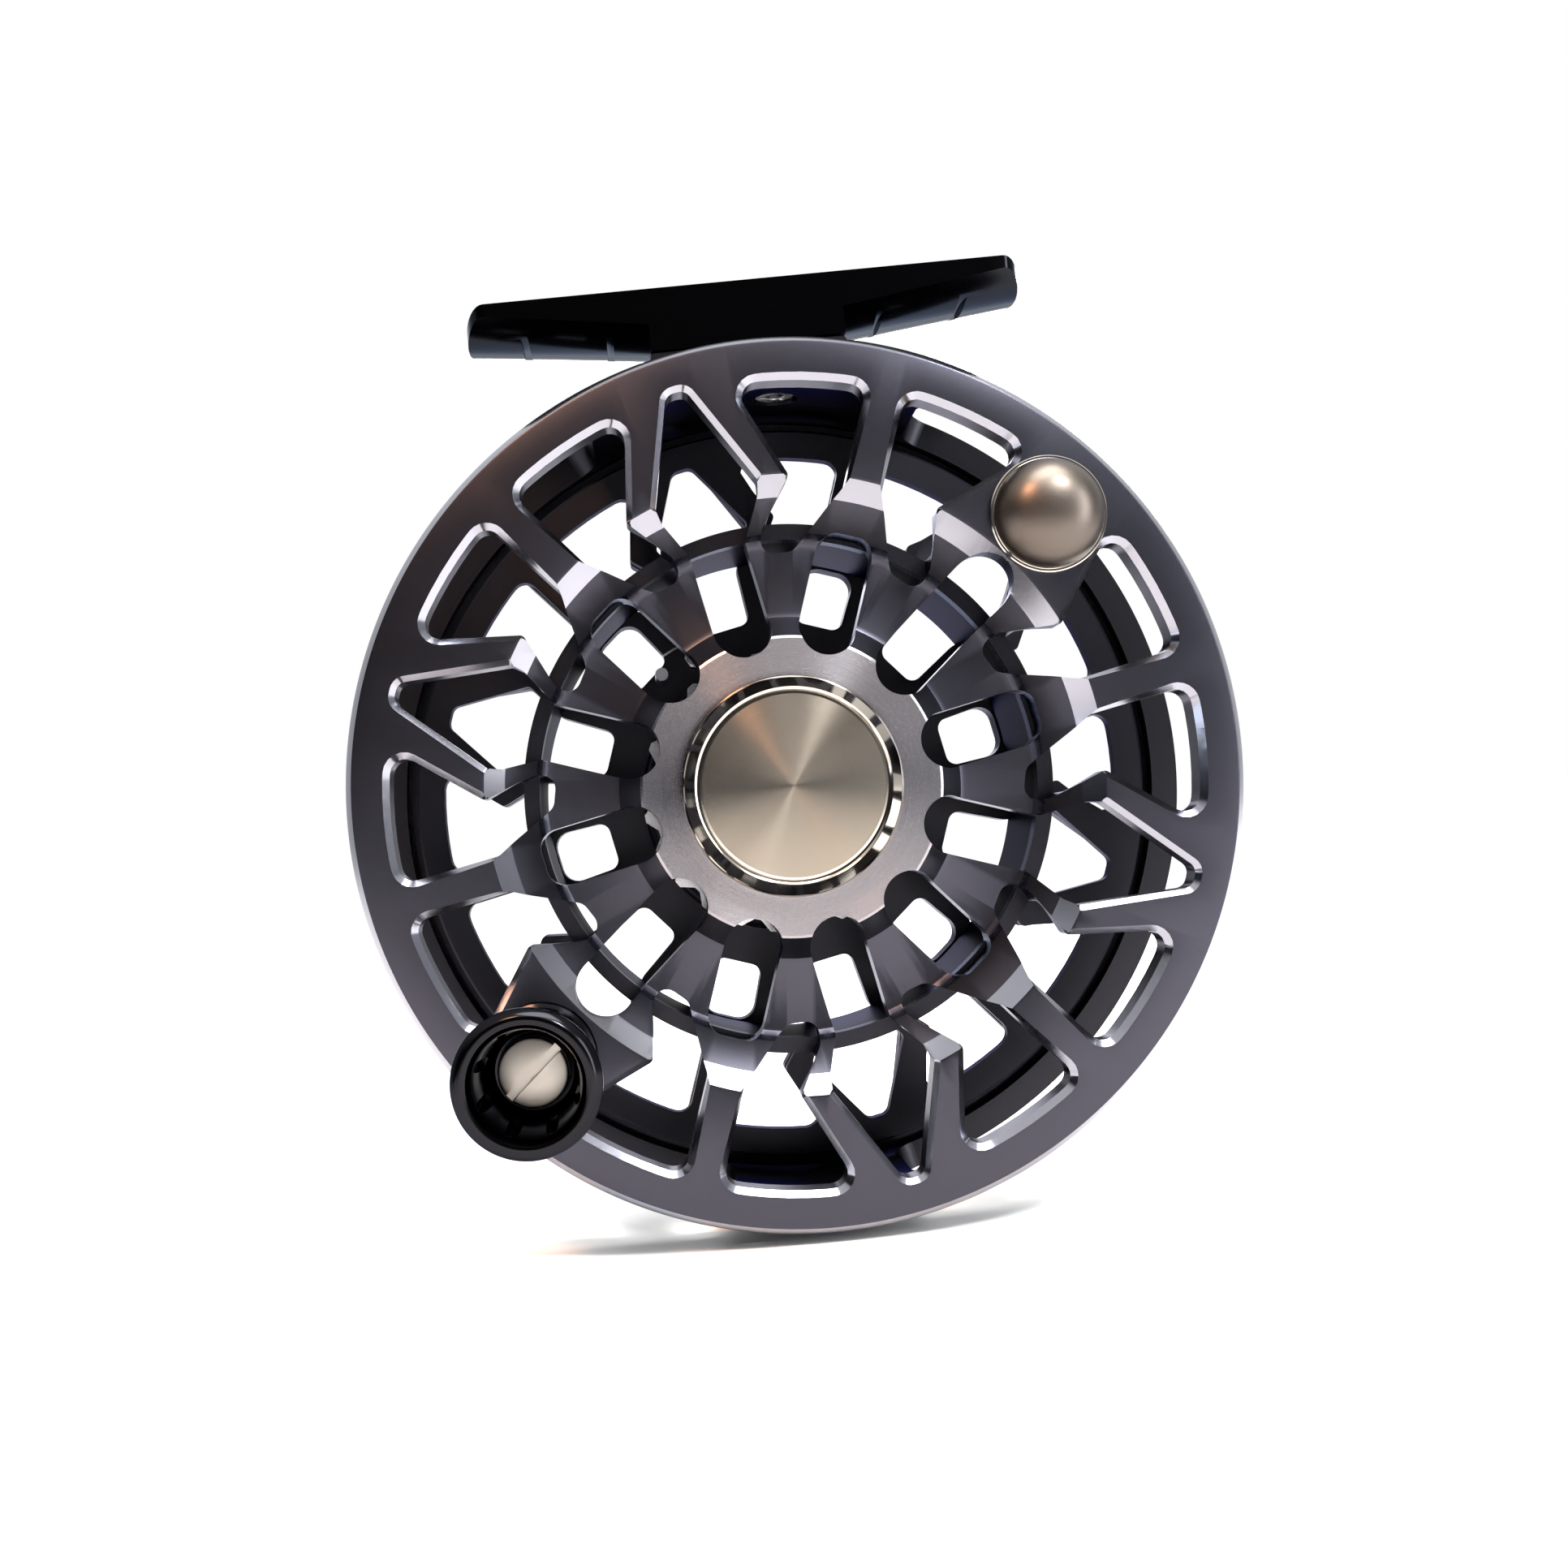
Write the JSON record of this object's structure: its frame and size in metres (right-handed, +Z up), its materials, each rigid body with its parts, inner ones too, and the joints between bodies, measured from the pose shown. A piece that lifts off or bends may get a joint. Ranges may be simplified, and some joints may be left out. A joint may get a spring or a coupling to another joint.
{
  "type": "fly reel",
  "caption": "Large-arbor fly fishing reel: V-lattice spool in an open cage frame, saddle foot, single handle with counterweight, sealed disc drag with rear knob and click pawl.",
  "frame": {"origin": "middle of the flat strip in the foot's hollow top, where the rod's reel seat bears", "axes": "+Z up out of the foot toward the rod, +Y along the spool axis from the handle side to the drag-knob side, +X along the foot"},
  "size_m": [0.099, 0.0666, 0.1075],
  "materials": {
    "gunmetal": "hard anodised gunmetal, fine satin, polished chamfers",
    "frame_dark": "black hard anodised, satin",
    "gloss_black": "gloss black anodised",
    "champagne": "turned champagne anodise with a polished bevel",
    "nickel": "brushed nickel-silver screw head",
    "steel": "stainless steel, machined",
    "bronze": "sintered bronze",
    "carbon": "woven carbon drag material, matt",
    "rubber": "nitrile, matt"
  },
  "bodies": {
    "frame_body": {"frame": "frame_dark", "reel_foot": "gloss_black", "foot_screw_left": "steel", "foot_screw_right": "steel", "spindle": "steel", "drag_housing": "frame_dark", "housing_screw_1": "steel", "housing_screw_2": "steel", "housing_screw_3": "steel", "hub_seal": "rubber", "cover_seal": "rubber", "drag_cover": "frame_dark", "detent_spring": "steel", "detent_ball": "steel", "click_pawl_pin": "steel", "click_spring_post": "steel", "click_spring": "steel", "drag_disc_steel": "steel"},
    "drag_hub_body": {"drag_hub": "steel", "hub_bearing_front": "steel", "hub_bearing_rear": "steel", "one_way_clutch": "steel", "drag_disc_carbon_front": "carbon", "drag_disc_carbon_rear": "carbon"},
    "spool_body": {"spool": "gunmetal", "spool_cap": "champagne", "spool_cap_retainer": "steel", "counterweight": "champagne", "counterweight_screw": "steel", "handle_post": "steel", "handle_post_screw": "steel", "handle_screw": "nickel", "click_gear": "steel"},
    "knob_body": {"handle_knob": "gloss_black", "handle_bushing_outer": "bronze", "handle_bushing_inner": "bronze"},
    "pressure_body": {"pressure_plate": "frame_dark", "spring_washer_inner": "steel", "spring_washer_outer": "steel"},
    "drag_knob_body": {"drag_knob": "gloss_black", "drag_knob_retainer": "steel", "drag_adjust_nut": "bronze"},
    "pawl_body": {"click_pawl": "steel"}
  },
  "joints": [
    {"name": "spool_spin", "type": "hinge", "parent": "frame_body", "child": "drag_hub_body", "pos_m": [0, -0.014, -0.0565], "axis": [0, -1, 0], "continuous": true},
    {"name": "spool_release", "type": "slide", "parent": "drag_hub_body", "child": "spool_body", "axis": [0, -1, 0], "range_m": [0, 0.045]},
    {"name": "handle_spin", "type": "hinge", "parent": "spool_body", "child": "knob_body", "pos_m": [-0.03021, -0.014, -0.08332], "axis": [0, -1, 0], "continuous": true},
    {"name": "drag_knob_turn", "type": "hinge", "parent": "frame_body", "child": "drag_knob_body", "pos_m": [0, 0.022, -0.0565], "axis": [0, 1, 0], "range_deg": [0, 330]},
    {"name": "pressure_plate_slide", "type": "slide", "parent": "frame_body", "child": "pressure_body", "axis": [0, -1, 0], "range_m": [0, 0.0006]},
    {"name": "click_pawl_rock", "type": "hinge", "parent": "frame_body", "child": "pawl_body", "pos_m": [-0.00869, 0.004, -0.03915], "axis": [0, 1, 0], "range_deg": [-10, 0], "stiffness_Nm_per_rad": 0.002}
  ],
  "couplings": [
    {"joint": "pressure_plate_slide", "follows": "drag_knob_turn", "m_per_rad": 0.000086812}
  ]
}
